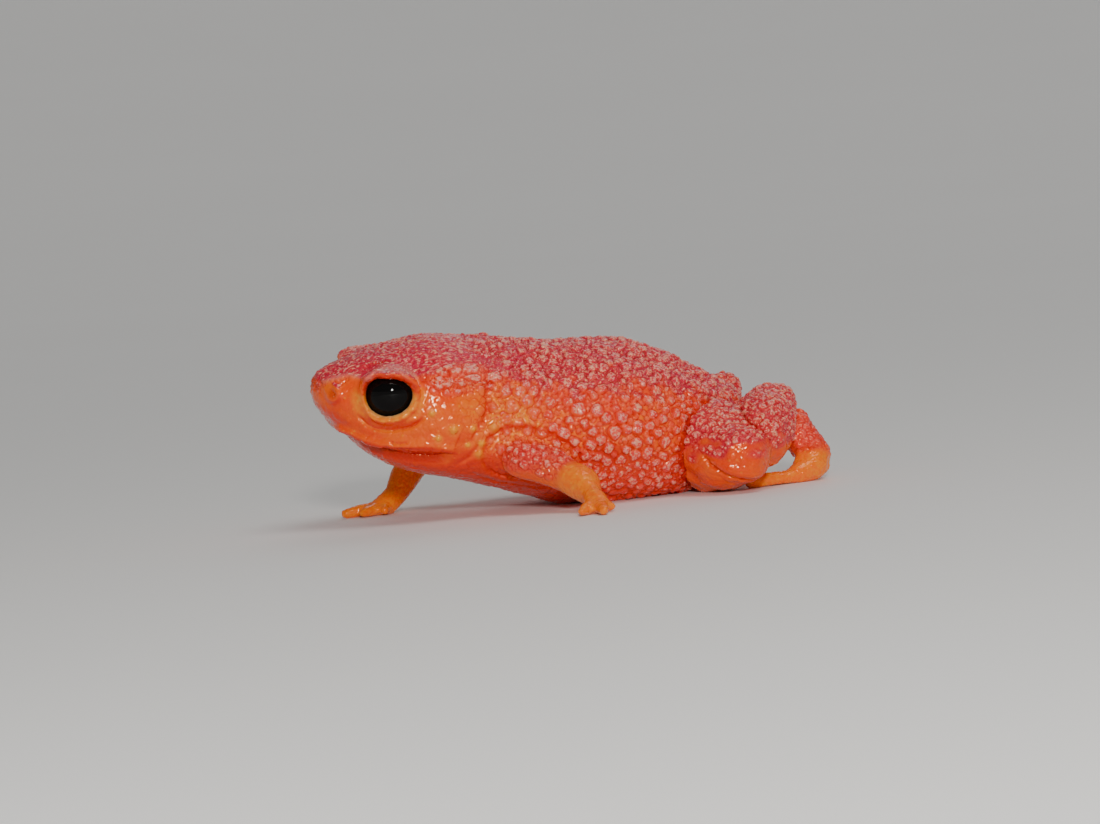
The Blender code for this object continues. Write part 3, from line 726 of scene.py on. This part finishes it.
def regions(clay):
    """Soft masks over the skin, each from 0 to 1, and how far each point lies above the pink edge."""
    x, y, z = clay.up.T
    height, facing = clay.points[:, 2], clay.normals[:, 2]
    parts = clay.parts()
    above = above_pink_edge(clay)
    trunk, tarsus = parts["trunk"], parts["tarsus"]
    body = trunk + parts["head"]
    leg = parts["thigh"] + parts["shank"]
    leg_pink = smoothstep(*LEG_TURNS, height + 0.22 * wave_noise(clay.points, WAVER_LENGTH, LEG_SEED))
    outward = clay.normals[:, 1] * np.sign(y)
    wavering = 0.15 * wave_noise(clay.points, WAVER_LENGTH, ARM_SEED)
    arm_pink = smoothstep(-0.10, 0.45, facing + 0.9 * outward + wavering)
    below = smoothstep(-0.15, -0.65, facing + 0.55 * smoothstep(-1.5, 0.5, x))
    behind = smoothstep(*HEAD_ENDS, x)
    nostril = sum(smoothstep(1.6, 1.1, from_nostril(clay, side)) for side in (-1, 1))
    face = body * (1 - behind) * smoothstep(0.10, -0.30, above)
    return {
        "above": above,
        "back": body * smoothstep(-0.25, 0.30, above + 0.12 * behind),
        "top_of_head": (1 - behind) * body * smoothstep(0.0, 0.35, above),
        "flank": trunk * behind * smoothstep(0.25, -0.30, above) * (1 - below),
        "shoulder": body * bell(off_oval(x, z, SHOULDER), 1) * smoothstep(0.5, -0.2, above),
        "temple": body * smoothstep(1.30, 0.70, off_oval(x, z, TEMPLE)) * smoothstep(-3.4, -3.7, x),
        "low_flank": trunk * smoothstep(-2.4, -1.4, x) * smoothstep(2.6, 1.6, z) * (1 - below),
        "rear": trunk * smoothstep(2.5, 4.2, x),
        "face": face,
        "nostril": nostril,
        "cheek": face * (1 - nostril),
        "chest": body * below,
        # Faces of the body turned downward, which take painted shade
        "underside": body * smoothstep(0.10, -0.55, facing),
        "leg_pink": leg * leg_pink,
        "leg_orange": leg * (1 - leg_pink),
        "arm_pink": clay.softened(parts["upper_arm"] * arm_pink, 40),
        "arm": parts["upper_arm"],
        "tarsus": tarsus,
        "tarsus_pink": clay.softened(tarsus * smoothstep(*TARSUS_TURNS, height), 30),
        "smooth_limb": parts["forearm"] + parts["hand"] + parts["foot"],
        **lid_regions(clay),
    }


# What the warts are like in each region: their spacing, how much of it they fill, their height, and how high
# the small granules between and on them are
WARTS = (
    ("chest", 0.34, 0.50, 0.012, 0.006),
    ("face", 0.34, 0.50, 0.018, 0.0),
    ("back", 0.40, 0.58, 0.090, 0.026),
    ("flank", 0.45, 0.62, 0.145, 0.016),
    ("shoulder", 0.46, 0.54, 0.080, 0.0),
    ("low_flank", 0.33, 0.60, 0.070, 0.024),
    ("rear", 0.36, 0.58, 0.080, 0.024),
    ("top_of_head", 0.18, 0.58, 0.028, 0.022),
    ("temple", 0.34, 0.62, 0.105, 0.010),
    ("leg_pink", 0.30, 0.58, 0.060, 0.026),
    ("leg_orange", 0.40, 0.45, 0.014, 0.0),
    ("arm_pink", 0.32, 0.56, 0.075, 0.022),
    ("tarsus", 0.28, 0.54, 0.038, 0.0),
    ("smooth_limb", 0.34, 0.45, 0.0, 0.0),
    ("lids", 0.30, 0.45, 0.003, 0.0),
)
GRANULE_SPACING = 0.150
GRANULE_RADIUS = 0.085
# Spacing and radius of the small warts in the gaps, as shares of what the first ones have
SMALL_SPACING, SMALL_RADIUS = 0.50, 0.46
# How many places are tried, and the seeds of the draws
WART_TRIES, GAP_TRIES, GRANULE_TRIES = 90000, 70000, 150000
WART_SEED, SIZE_SEED, GRANULE_SEED, GAP_ORDER_SEED, GAP_SEED = 5, 6, 7, 8, 9
# How much shorter the top of the head is taken to be while its warts are laid, which makes them long
HEAD_STRETCH = 0.45


def scatter(points, spacing, seed, among, tries):
    """Numbers of points picked at random among some, no closer together than the spacing wanted at each."""
    random = np.random.default_rng(seed)
    order = random.permutation(among)[:tries]
    cell = spacing[among].max()
    keys = np.floor(points / cell).astype(int)
    grid = {}
    picked = []
    for i in order:
        kx, ky, kz = keys[i]
        close = [
            j
            for dx in (-1, 0, 1) for dy in (-1, 0, 1) for dz in (-1, 0, 1)
            for j in grid.get((kx + dx, ky + dy, kz + dz), ())
        ]
        if close:
            gaps = points[close] - points[i]
            if np.einsum("ij,ij->i", gaps, gaps).min() < spacing[i] ** 2:
                continue
        grid.setdefault((kx, ky, kz), []).append(i)
        picked.append(i)
    return np.array(picked)


def dome_finder(points, seeds, radius):
    """Makes a function for how far out a point lies on its nearest dome, 1 at its edge, and on which dome."""
    tree = KDTree(len(seeds))
    for k, i in enumerate(seeds):
        tree.insert(points[i], k)
    tree.balance()
    return lambda point: min((distance / radius[k], k) for _, k, distance in tree.find_n(point, 3))


def nearest_domes(points, seeds, radius, among):
    """For each point the dome it lies on, and how far out on it, 1 at the dome's edge."""
    nearest = dome_finder(points, seeds, radius)
    out = np.full(len(points), 9.0)
    which = np.zeros(len(points), dtype=int)
    for i in among:
        out[i], which[i] = nearest(points[i])
    return out, which


def gap_seeds(points, seeds, radius, spacing, among):
    """Places for smaller domes in the gaps that the first ones leave."""
    nearest = dome_finder(points, seeds, radius)
    tried = np.random.default_rng(GAP_ORDER_SEED).permutation(among)[:GAP_TRIES]
    free = np.array([i for i in tried if nearest(points[i])[0] > 1.28])
    return scatter(points, spacing, GAP_SEED, free, len(free))


def sculpt_warts(clay, found):
    """Domed warts with a groove round each, and small granules over them.

    Returns how much each point is of a wart's top and of a groove, the warts' height, and the granules' tops.
    """
    count = len(clay.points)
    spacing, fill = np.full(count, 0.38), np.full(count, 0.50)
    height, rise = np.zeros((2, count))
    for name, gap, share, wart, grain in WARTS:
        spacing = mix(spacing, found[name], gap)
        fill = mix(fill, found[name], share)
        height = mix(height, found[name], wart)
        rise = np.maximum(rise, grain * found[name] * (1 - found["nostril"]))
    height *= 1 - found["nostril"]
    wavy = np.stack([wave_noise(clay.points, 0.40, seed) for seed in (21, 22, 23)], axis=1)
    moved = clay.points + 0.026 * wavy
    moved[:, 0] *= 1 - HEAD_STRETCH * found["top_of_head"]
    covered = np.flatnonzero(height > 0.002)
    seeds = scatter(moved, spacing, WART_SEED, covered, WART_TRIES)
    random = np.random.default_rng(SIZE_SEED)
    radius = fill[seeds] * spacing[seeds] * random.uniform(0.70, 1.18, len(seeds))
    tallness = random.uniform(0.6, 1.25, len(seeds))
    large = len(seeds)
    small = gap_seeds(moved, seeds, radius, SMALL_SPACING * spacing, covered)
    small_radius = SMALL_RADIUS * fill[small] * spacing[small] * random.uniform(0.8, 1.2, len(small))
    seeds = np.concatenate([seeds, small])
    radius = np.concatenate([radius, small_radius])
    tallness = np.concatenate([tallness, random.uniform(0.3, 0.6, len(small))])
    out, which = nearest_domes(moved, seeds, radius, covered)
    dome = np.clip(1 - out**2, 0, 1) ** 0.75 * tallness[which]
    ring = bell(out - 1.03, 0.13)
    top = smoothstep(0.98, 0.66, out) * np.where(which < large, 1.0, 0.55)
    clay.rise += height * (dome - 0.45 * ring)

    granular = np.flatnonzero(rise > 0.003)
    seeds = scatter(moved, np.full(len(moved), GRANULE_SPACING), GRANULE_SEED, granular, GRANULE_TRIES)
    radius = GRANULE_RADIUS * random.uniform(0.8, 1.15, len(seeds))
    out, _ = nearest_domes(moved, seeds, radius, granular)
    granule = np.clip(1 - out**2, 0, 1)
    clay.rise += rise * (granule - 0.4)
    return top, ring, height, granule


# Fine wandering creases: where, how deep, how far apart, the seed of their noise, and any stretch
WRINKLES = (
    ("chest", 0.022, 0.75, 31, (1.0, 2.2, 1.0)),
    ("cheek", 0.012, 0.90, 32),
    ("leg_orange", 0.020, 0.60, 33, (1.6, 1.0, 1.0)),
    ("back", 0.020, 0.55, 34),
    ("smooth_limb", 0.012, 0.50, 35),
    ("arm", 0.012, 0.50, 36),
)


def sculpt_wrinkles(clay, found):
    for name, depth, *creases in WRINKLES:
        clay.rise -= depth * found[name] * fine_creases(clay.points, *creases)
    clay.rise += 0.005 * (1 - found["face"]) * wave_noise(clay.points, 0.13, 37)


# Materials

def store(mesh, name, values):
    layer = mesh.attributes.new(name, "FLOAT", "POINT")
    layer.data.foreach_set("value", np.ascontiguousarray(values, dtype=np.float32))


class Shading:
    """A material's nodes, put together by short calls."""

    def __init__(self, name):
        self.material = bpy.data.materials.new(name)
        self.material.use_nodes = True
        self.tree = self.material.node_tree
        self.surface = self.tree.nodes["Principled BSDF"]

    def put(self, socket, value):
        if isinstance(value, bpy.types.NodeSocket):
            self.tree.links.new(value, socket)
        else:
            socket.default_value = value

    def set_surface(self, values):
        for key, value in values.items():
            self.put(self.surface.inputs[key], value)

    def node(self, kind, inputs=(), **settings):
        node = self.tree.nodes.new(kind)
        for key, value in settings.items():
            setattr(node, key, value)
        for key, value in dict(inputs).items():
            self.put(node.inputs[key], value)
        return node

    def attribute(self, name):
        return self.node("ShaderNodeAttribute", attribute_name=name).outputs["Fac"]

    def math(self, operation, *values):
        return self.node("ShaderNodeMath", enumerate(values), operation=operation).outputs[0]

    def between(self, value, low, high):
        """0 where the value is low, 1 where it is high, with a soft passage."""
        inputs = {"Value": value, "From Min": low, "From Max": high}
        return self.node("ShaderNodeMapRange", inputs, interpolation_type="SMOOTHSTEP").outputs["Result"]

    def colour(self, share, first, second):
        """The first colour where the share is 0, the second where it is 1."""
        first, second = ((*value, 1) if isinstance(value, tuple) else value for value in (first, second))
        return self.node("ShaderNodeMix", {0: share, 6: first, 7: second}, data_type="RGBA").outputs[2]

    def noise(self, scale, detail, roughness=0.55, stretch=(1, 1, 1)):
        """Noise over the object's own coordinates, with its scale counted per millimetre."""
        inputs = {"Scale": scale / MM, "Detail": detail, "Roughness": roughness}
        return self.node("ShaderNodeTexNoise", {**inputs, "Vector": self.place(stretch)}).outputs["Fac"]

    def cells(self, scale):
        inputs = {"Scale": scale / MM, "Vector": self.place((1, 1, 1))}
        return self.node("ShaderNodeTexVoronoi", inputs).outputs["Distance"]

    def place(self, stretch):
        inputs = {"Scale": stretch, "Vector": self.node("ShaderNodeTexCoord").outputs["Object"]}
        return self.node("ShaderNodeMapping", inputs).outputs["Vector"]

    def bump(self, height, distance, strength, under=None):
        """Bumps of a depth in millimetres, laid over other bumps where those are given."""
        inputs = {"Height": height, "Distance": distance * MM, "Strength": strength}
        if under is not None:
            inputs["Normal"] = under
        return self.node("ShaderNodeBump", inputs).outputs["Normal"]


ORANGE = (1.0, 0.140, 0.0)
DEEP_ORANGE = (1.0, 0.065, 0.0)
AMBER = (1.0, 0.23, 0.001)
YELLOW = (1.0, 0.42, 0.02)
CREAM = (0.92, 0.62, 0.28)
CRIMSON = (0.66, 0.002, 0.040)
MAUVE = (0.62, 0.012, 0.070)
ROSE = (0.86, 0.022, 0.030)
WART_PINK = (1.0, 0.105, 0.085)
RED_ORANGE = (0.74, 0.008, 0.0)
PALE_PINK = (1.0, 0.27, 0.25)
PEACH = (1.0, 0.38, 0.22)
BROW_PINK = (1.0, 0.36, 0.26)
# Dark red of painted shade in hollows and creases, under the upper lip, in the thighs' joints and the
# nostrils
SHADE_RED = (0.36, 0.002, 0.0)

SKIN_SURFACE = {
    "Specular IOR Level": 0.85,
    "Specular Tint": (1.0, 0.42, 0.16, 1),
    "Subsurface Weight": 0.12,
    "Subsurface Radius": (1.0, 0.22, 0.06),
    "Subsurface Scale": 0.22 * MM,
    "Coat Weight": 0.42,
    "Coat Roughness": 0.06,
    "Coat IOR": 1.40,
}


def skin_material():
    """Wet skin: orange ground, crimson back, warts with pale and crimson speckles on their tops, and painted
    shade in the hollows, under the upper lip and beneath the body.
    """
    look = Shading("toadlet_skin")
    crimson = look.attribute("crimson")
    patches = look.noise(0.9, 4)
    grain = look.noise(5.0, 3, 0.6)
    maze = look.noise(12.0, 2, 0.6)
    rows = look.noise(12.0, 2, 0.6, (0.42, 1, 1))

    ground = look.colour(look.between(patches, 0.35, 0.70), ORANGE, DEEP_ORANGE)
    golden = look.colour(look.between(grain, 0.35, 0.7), AMBER, YELLOW)
    ground = look.colour(look.attribute("amber"), ground, golden)
    dots = look.math("MULTIPLY", look.between(look.cells(3.0), 0.20, 0.10), 0.35)
    ground = look.colour(dots, ground, YELLOW)
    back = look.colour(look.between(patches, 0.40, 0.65), CRIMSON, MAUVE)
    on_warts = look.colour(look.between(grain, 0.40, 0.60), ROSE, WART_PINK)
    # Colour of the grooves and folds: partly the skin's own red, partly painted shade in them
    groove = look.colour(crimson, RED_ORANGE, CRIMSON)
    # red: painted shade under the body and the lip, with the lower legs' own redder orange
    layers = {"red": RED_ORANGE, "crimson": back, "blush": ROSE, "warts": on_warts, "valley": groove}
    for name, colour in layers.items():
        ground = look.colour(look.attribute(name), ground, colour)

    wander = look.math("MULTIPLY_ADD", look.attribute("streaked"), look.math("SUBTRACT", rows, maze), maze)
    pale = look.between(look.math("ADD", wander, look.attribute("cover")), 0.44, 0.55)
    tops = look.colour(look.between(grain, 0.38, 0.62), PALE_PINK, PEACH)
    paint = look.colour(pale, ground, tops)
    for name, colour in (("pale", BROW_PINK), ("yellow", YELLOW), ("cream", CREAM)):
        paint = look.colour(look.attribute(name), paint, colour)
    # Painted shade: red-orange to dark red in the skin's hollows and creases, and dark red where the shade
    # attribute is set
    shade_in_hollows = look.math("MULTIPLY", look.between(look.attribute("hollow_shade"), 0.006, 0.034), 0.7)
    paint = look.colour(shade_in_hollows, paint, look.colour(crimson, RED_ORANGE, SHADE_RED))
    paint = look.colour(look.attribute("shade"), paint, SHADE_RED)

    normal = look.bump(pale, 0.016, 0.8)
    normal = look.bump(grain, 0.014, 0.6, normal)
    normal = look.bump(look.cells(8.0), 0.012, 0.7, normal)
    gloss = look.math("MULTIPLY_ADD", look.attribute("dry"), 0.12, 0.09)
    roughness = look.math("MULTIPLY_ADD", grain, 0.12, gloss)
    look.set_surface({"Base Color": paint, "Roughness": roughness, "Normal": normal, **SKIN_SURFACE})
    return look.material


def paint_skin(clay, found, warts):
    """Stores what the skin's material reads at each point."""
    x = clay.up[:, 0]
    top, ring, height, granule = warts
    on_wart = top * smoothstep(0.010, 0.045, height)
    back, flank, temple, shoulder = (found[name] for name in ("back", "flank", "temple", "shoulder"))
    leg_pink, arm_pink, tarsus_pink = (found[name] for name in ("leg_pink", "arm_pink", "tarsus_pink"))
    crimson = smoothstep(-0.1, 0.7, found["above"]) * back * (1 - 0.85 * temple)
    crimson = np.maximum.reduce([crimson, 0.85 * leg_pink, 0.5 * arm_pink, 0.3 * tarsus_pink])
    pink = np.maximum.reduce([back, flank, leg_pink, arm_pink, temple, 0.8 * tarsus_pink])
    pink = mix(pink, shoulder, 0.62) * (1 - found["chest"])
    fine = np.clip(found["rear"] + found["low_flank"], 0, 1)
    bare = (1 - crimson) * (1 - on_wart) * (1 - 0.75 * fine)
    cover = 0.12 * on_wart - 0.09 + 0.12 * (granule - 0.5) - 0.35 * bare + 0.05 * temple - 0.40 * (1 - pink)
    edge_band = 0.55 * smoothstep(-1.3, -0.1, found["above"]) * smoothstep(-2.6, -0.5, x)
    washed = flank * (1 - shoulder) * np.maximum(edge_band, 0.35 * found["rear"])
    lower_lid = 0.7 * found["lids"] * found["below_eye"]
    # Grooves round the warts and the neck's and lids' folds, whose colour is partly the skin's own red and
    # partly painted shade
    folds = np.maximum(clay.traced(NECK_GROOVE, 0.14), clay.traced(LID_FOLD, 0.06))
    grooves = ring * smoothstep(0.010, 0.045, height) * (1 - 0.45 * shoulder)
    # How far each point lies in a hollow, for the painted shade in the skin's hollows and creases
    hollow_shade = np.sum((clay.softened(clay.points, 8) - clay.points) * clay.normals, axis=1)
    shade, jaw = shaded_parts(clay)
    painted = {
        "crimson": crimson,
        # Painted shade in the hollows, kept faint on the lids
        "hollow_shade": hollow_shade * (1 - 0.8 * found["lids"]),
        "cover": cover,
        "blush": np.maximum(washed, 0.55 * tarsus_pink),
        "warts": 0.9 * on_wart * pink * (1 - 0.6 * crimson),
        "streaked": found["top_of_head"] * (1 - temple),
        "amber": np.maximum.reduce([0.8 * shoulder, lower_lid, 0.45 * found["smooth_limb"], 0.12 * flank]),
        # Red of painted shade under the body and over the jaw below the lip, and the lower legs' own redder
        # orange
        "red": np.maximum.reduce([0.85 * found["underside"], 0.30 * found["leg_orange"], 0.95 * jaw]),
        "dry": np.clip(back + leg_pink + arm_pink, 0, 1) * (1 - temple),
        "yellow": yellow_parts(clay),
        "cream": found["margin"],
        "pale": 0.60 * pale_parts(clay),
        # Partly the grooves' own red, partly painted shade in them
        "valley": np.clip(grooves + 0.75 * folds, 0, 1),
        # Painted shade under the upper lip, in the thighs' joints and in the nostrils' pits
        "shade": 0.70 * shade,
    }
    for name, values in painted.items():
        store(clay.mesh, name, values)


def yellow_parts(clay):
    """The bumps on the cheeks."""
    bumps = [bell(clay.from_spot(spot, side), radius) for side in (-1, 1) for spot, radius, _ in CHEEK_BUMPS]
    return np.maximum.reduce(bumps)


def pale_parts(clay):
    """The edges of the snout, the brows and the swellings behind the eyes."""
    pale = 0.75 * clay.traced(CANTHUS, 0.11)
    for side in (-1, 1):
        pale = np.maximum(pale, 0.35 * bell(clay.from_spot(PAROTOID[0], side), 0.45))
        pale = np.maximum(pale, 0.7 * on_brow(clay.points, side))
    return pale


def shaded_parts(clay):
    """Painted shade: a dark band under the upper lip, in the thighs' joints and in the nostrils' pits, and
    painted red shade over the jaw under the lip.
    """
    shade, jaw = np.zeros((2, len(clay.points)))
    chosen, above_mouth = below_mouth(clay)
    fade = smoothstep(MOUTH_CORNER_X, MOUTH_CORNER_X - 0.9, clay.up[chosen, 0])
    under_lip = fade * smoothstep(0.05, -0.04, above_mouth)
    shade[chosen] = 0.8 * under_lip * bell(np.minimum(above_mouth + 0.16, 0), 0.20)
    jaw[chosen] = under_lip * bell(np.minimum(above_mouth + 0.36, 0), 0.28)
    for ending in ENDINGS:
        chosen, past = clay.past_joint("thigh" + ending, 0.6)
        shade[chosen] = np.maximum(shade[chosen], bell(past, 0.10))
    for side in (-1, 1):
        shade = np.maximum(shade, 0.55 * smoothstep(1.0, 0.6, from_nostril(clay, side)))
    return shade, jaw


# Eyes

# Turns round the eyeball, rows from front to back, and the bulge of the cornea as a share of the radius
EYE_TURNS, EYE_ROWS = 96, 64
BULGE = 0.012
BULGE_ANGLE = 0.6


def build_eye(side, material):
    """A fine eyeball that stores each point's angle from the eye's axis."""
    centre, outward, forward, up = eye_frame(side)
    ending = ENDINGS[side > 0]
    mesh = bpy.data.meshes.new("eyeball" + ending)
    bm = bmesh.new()
    bmesh.ops.create_uvsphere(bm, u_segments=EYE_TURNS, v_segments=EYE_ROWS, radius=EYE_RADIUS)
    bm.to_mesh(mesh)
    bm.free()
    ball = read_points(mesh)
    angle = np.arctan2(np.hypot(ball[:, 0], ball[:, 1]), ball[:, 2])
    bulge = BULGE * bell((angle / BULGE_ANGLE) ** 2, 1) * (angle > 0.01)
    ball *= 1 + bulge[:, None]
    write_points(mesh, (ball @ np.array((forward, up, outward)) + centre + SHIFT) * MM)
    if side < 0:
        mesh.flip_normals()
    mesh.shade_smooth()
    store(mesh, "angle", np.degrees(angle))
    mesh.materials.append(material)
    eye = linked(mesh.name, mesh)
    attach(eye, "root")
    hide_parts("eye" + ending)


# Colours of the eye, and the angles from its axis at which one passes into the next
PUPIL_BLACK = (0.003, 0.0025, 0.0025)
IRIS_BROWN = (0.030, 0.010, 0.002)
IRIS_GOLD = (0.22, 0.085, 0.010)
EYE_RIM = (0.012, 0.004, 0.002)
PUPIL_EDGE = (50, 55)
IRIS_EDGE = (58, 61)


def eye_material():
    """Black, glossy, with a dark golden rim round the wide pupil."""
    look = Shading("toadlet_eye")
    angle = look.attribute("angle")
    fibres = look.noise(9.0, 3)
    iris = look.colour(look.between(fibres, 0.40, 0.70), IRIS_BROWN, IRIS_GOLD)
    paint = look.colour(look.between(angle, *PUPIL_EDGE), PUPIL_BLACK, iris)
    paint = look.colour(look.between(angle, *IRIS_EDGE), paint, EYE_RIM)
    look.set_surface({
        "Base Color": paint,
        "Roughness": look.math("MULTIPLY_ADD", fibres, 0.03, 0.03),
        "Normal": look.bump(fibres, 0.002, 0.2),
        "Specular IOR Level": 0.16,
    })
    return look.material


# Studio

def build_camera():
    turn = Matrix.Rotation(VIEW_AZIMUTH, 3, "Z") @ Matrix.Rotation(pi / 2 - VIEW_ELEVATION, 3, "X")
    turn @= Matrix.Rotation(-VIEW_ROLL, 3, "Z")
    millimetres = VIEW_WIDTH / PICTURE_WIDTH
    across = (PICTURE_WIDTH / 2 - ORIGIN_PIXEL[0]) * millimetres
    upward = (ORIGIN_PIXEL[1] - PICTURE_HEIGHT / 2) * millimetres
    place = Vector(SHIFT) + turn @ Vector((across, upward, VIEW_DISTANCE))
    lens = bpy.data.cameras.new("camera")
    lens.lens = LENS
    lens.sensor_width = SENSOR
    lens.clip_start = 0.005
    camera = linked("camera", lens)
    camera.matrix_world = Matrix.LocRotScale(place * MM, turn, None)
    bpy.context.scene.camera = camera


# Rings of the floor in metres: flat up to the first, then curving up to the last
FLOOR_RINGS = [(5 + 2 * step) / 10 for step in range(15)]
FLOOR_SWEEP = 0.080
FLOOR_SIDES = 96
FLOOR_TINTS = ((0.86, 0.85, 0.83), (0.90, 0.89, 0.87))


def build_floor():
    """A wide pale floor that sweeps up gently a long way off on every side."""
    look = Shading("pale_floor")
    look.set_surface({"Base Color": look.colour(look.noise(0.004, 3), *FLOOR_TINTS), "Roughness": 0.7})
    points, faces = [(0, 0, 0)], []
    for row, reach in enumerate(FLOOR_RINGS):
        height = FLOOR_SWEEP * (reach - FLOOR_RINGS[0]) ** 2
        outer = 1 + row * FLOOR_SIDES
        inner = outer - FLOOR_SIDES
        for k in range(FLOOR_SIDES):
            turn = 2 * pi * k / FLOOR_SIDES
            following = (k + 1) % FLOOR_SIDES
            points.append((reach * cos(turn), reach * sin(turn), height))
            near = (inner + following, inner + k) if row else (0,)
            faces.append((outer + k, outer + following, *near))
    mesh = bpy.data.meshes.new("floor")
    mesh.from_pydata(points, [], faces)
    mesh.shade_smooth()
    mesh.materials.append(look.material)
    floor = linked("floor", mesh)
    floor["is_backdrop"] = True


# Lamp by the camera: place and width in metres, power in watts
KEY_PLACE = (-0.031, -0.144, 0.048)
KEY_WIDTH = 0.018
KEY_POWER = 0.124
# Wide even lights from far away: name, where from, strength, angle
SKYLIGHTS = (
    ("skylight", (0.25, -0.35, 0.90), 0.82, radians(32)),
    ("skylight_behind", (0.45, 0.75, 0.65), 0.36, radians(40)),
)
WORLD_LIGHT = 0.17
KEY_TINT = (1.0, 0.98, 0.95)
SKY_TINT = (1.0, 0.99, 0.97)
WORLD_TINT = (0.92, 0.94, 0.96, 1)
# What the lights point at, in metres
LIT_SPOT = Vector((0, 0, 0.003))


def build_light(name, kind, place, energy, tint):
    light = bpy.data.lights.new(name, kind)
    light.energy = energy
    light.color = tint
    lamp = linked(name, light)
    lamp.location = place
    lamp.rotation_euler = (Vector(place) - LIT_SPOT).to_track_quat("Z", "Y").to_euler()
    return light


def build_lights():
    world = bpy.data.worlds.new("studio")
    bpy.context.scene.world = world
    world.use_nodes = True
    background = world.node_tree.nodes["Background"].inputs
    background["Color"].default_value = WORLD_TINT
    background["Strength"].default_value = WORLD_LIGHT
    key = build_light("key", "AREA", KEY_PLACE, KEY_POWER, KEY_TINT)
    key.shape = "DISK"
    key.size = KEY_WIDTH
    for name, place, strength, angle in SKYLIGHTS:
        build_light(name, "SUN", place, strength, SKY_TINT).angle = angle


def build_skin():
    skin = base_skin()
    clay = Clay(skin)
    settle_lids(clay)
    sculpt_face(clay)
    sculpt_folds(clay)
    clay.apply()
    found = regions(clay)
    warts = sculpt_warts(clay, found)
    sculpt_wrinkles(clay, found)
    clay.apply()
    paint_skin(clay, found, warts)
    mesh = skin.data
    points = clay.points.copy()
    points[:, 2] = np.maximum(points[:, 2], -SHIFT[2])
    write_points(mesh, (points + SHIFT) * MM)
    mesh.shade_smooth()
    mesh.materials.clear()
    mesh.materials.append(skin_material())
    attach(skin, "root")
    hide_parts(*FLESH)


build_skin()
eye_look = eye_material()
for side in (-1, 1):
    build_eye(side, eye_look)
build_floor()
build_camera()
build_lights()

low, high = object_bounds()
sizes = {
    "cad": [list(map(float, corner)) for corner in cad_bounds],
    "visual": [list(map(float, corner)) for corner in (low, high)],
}
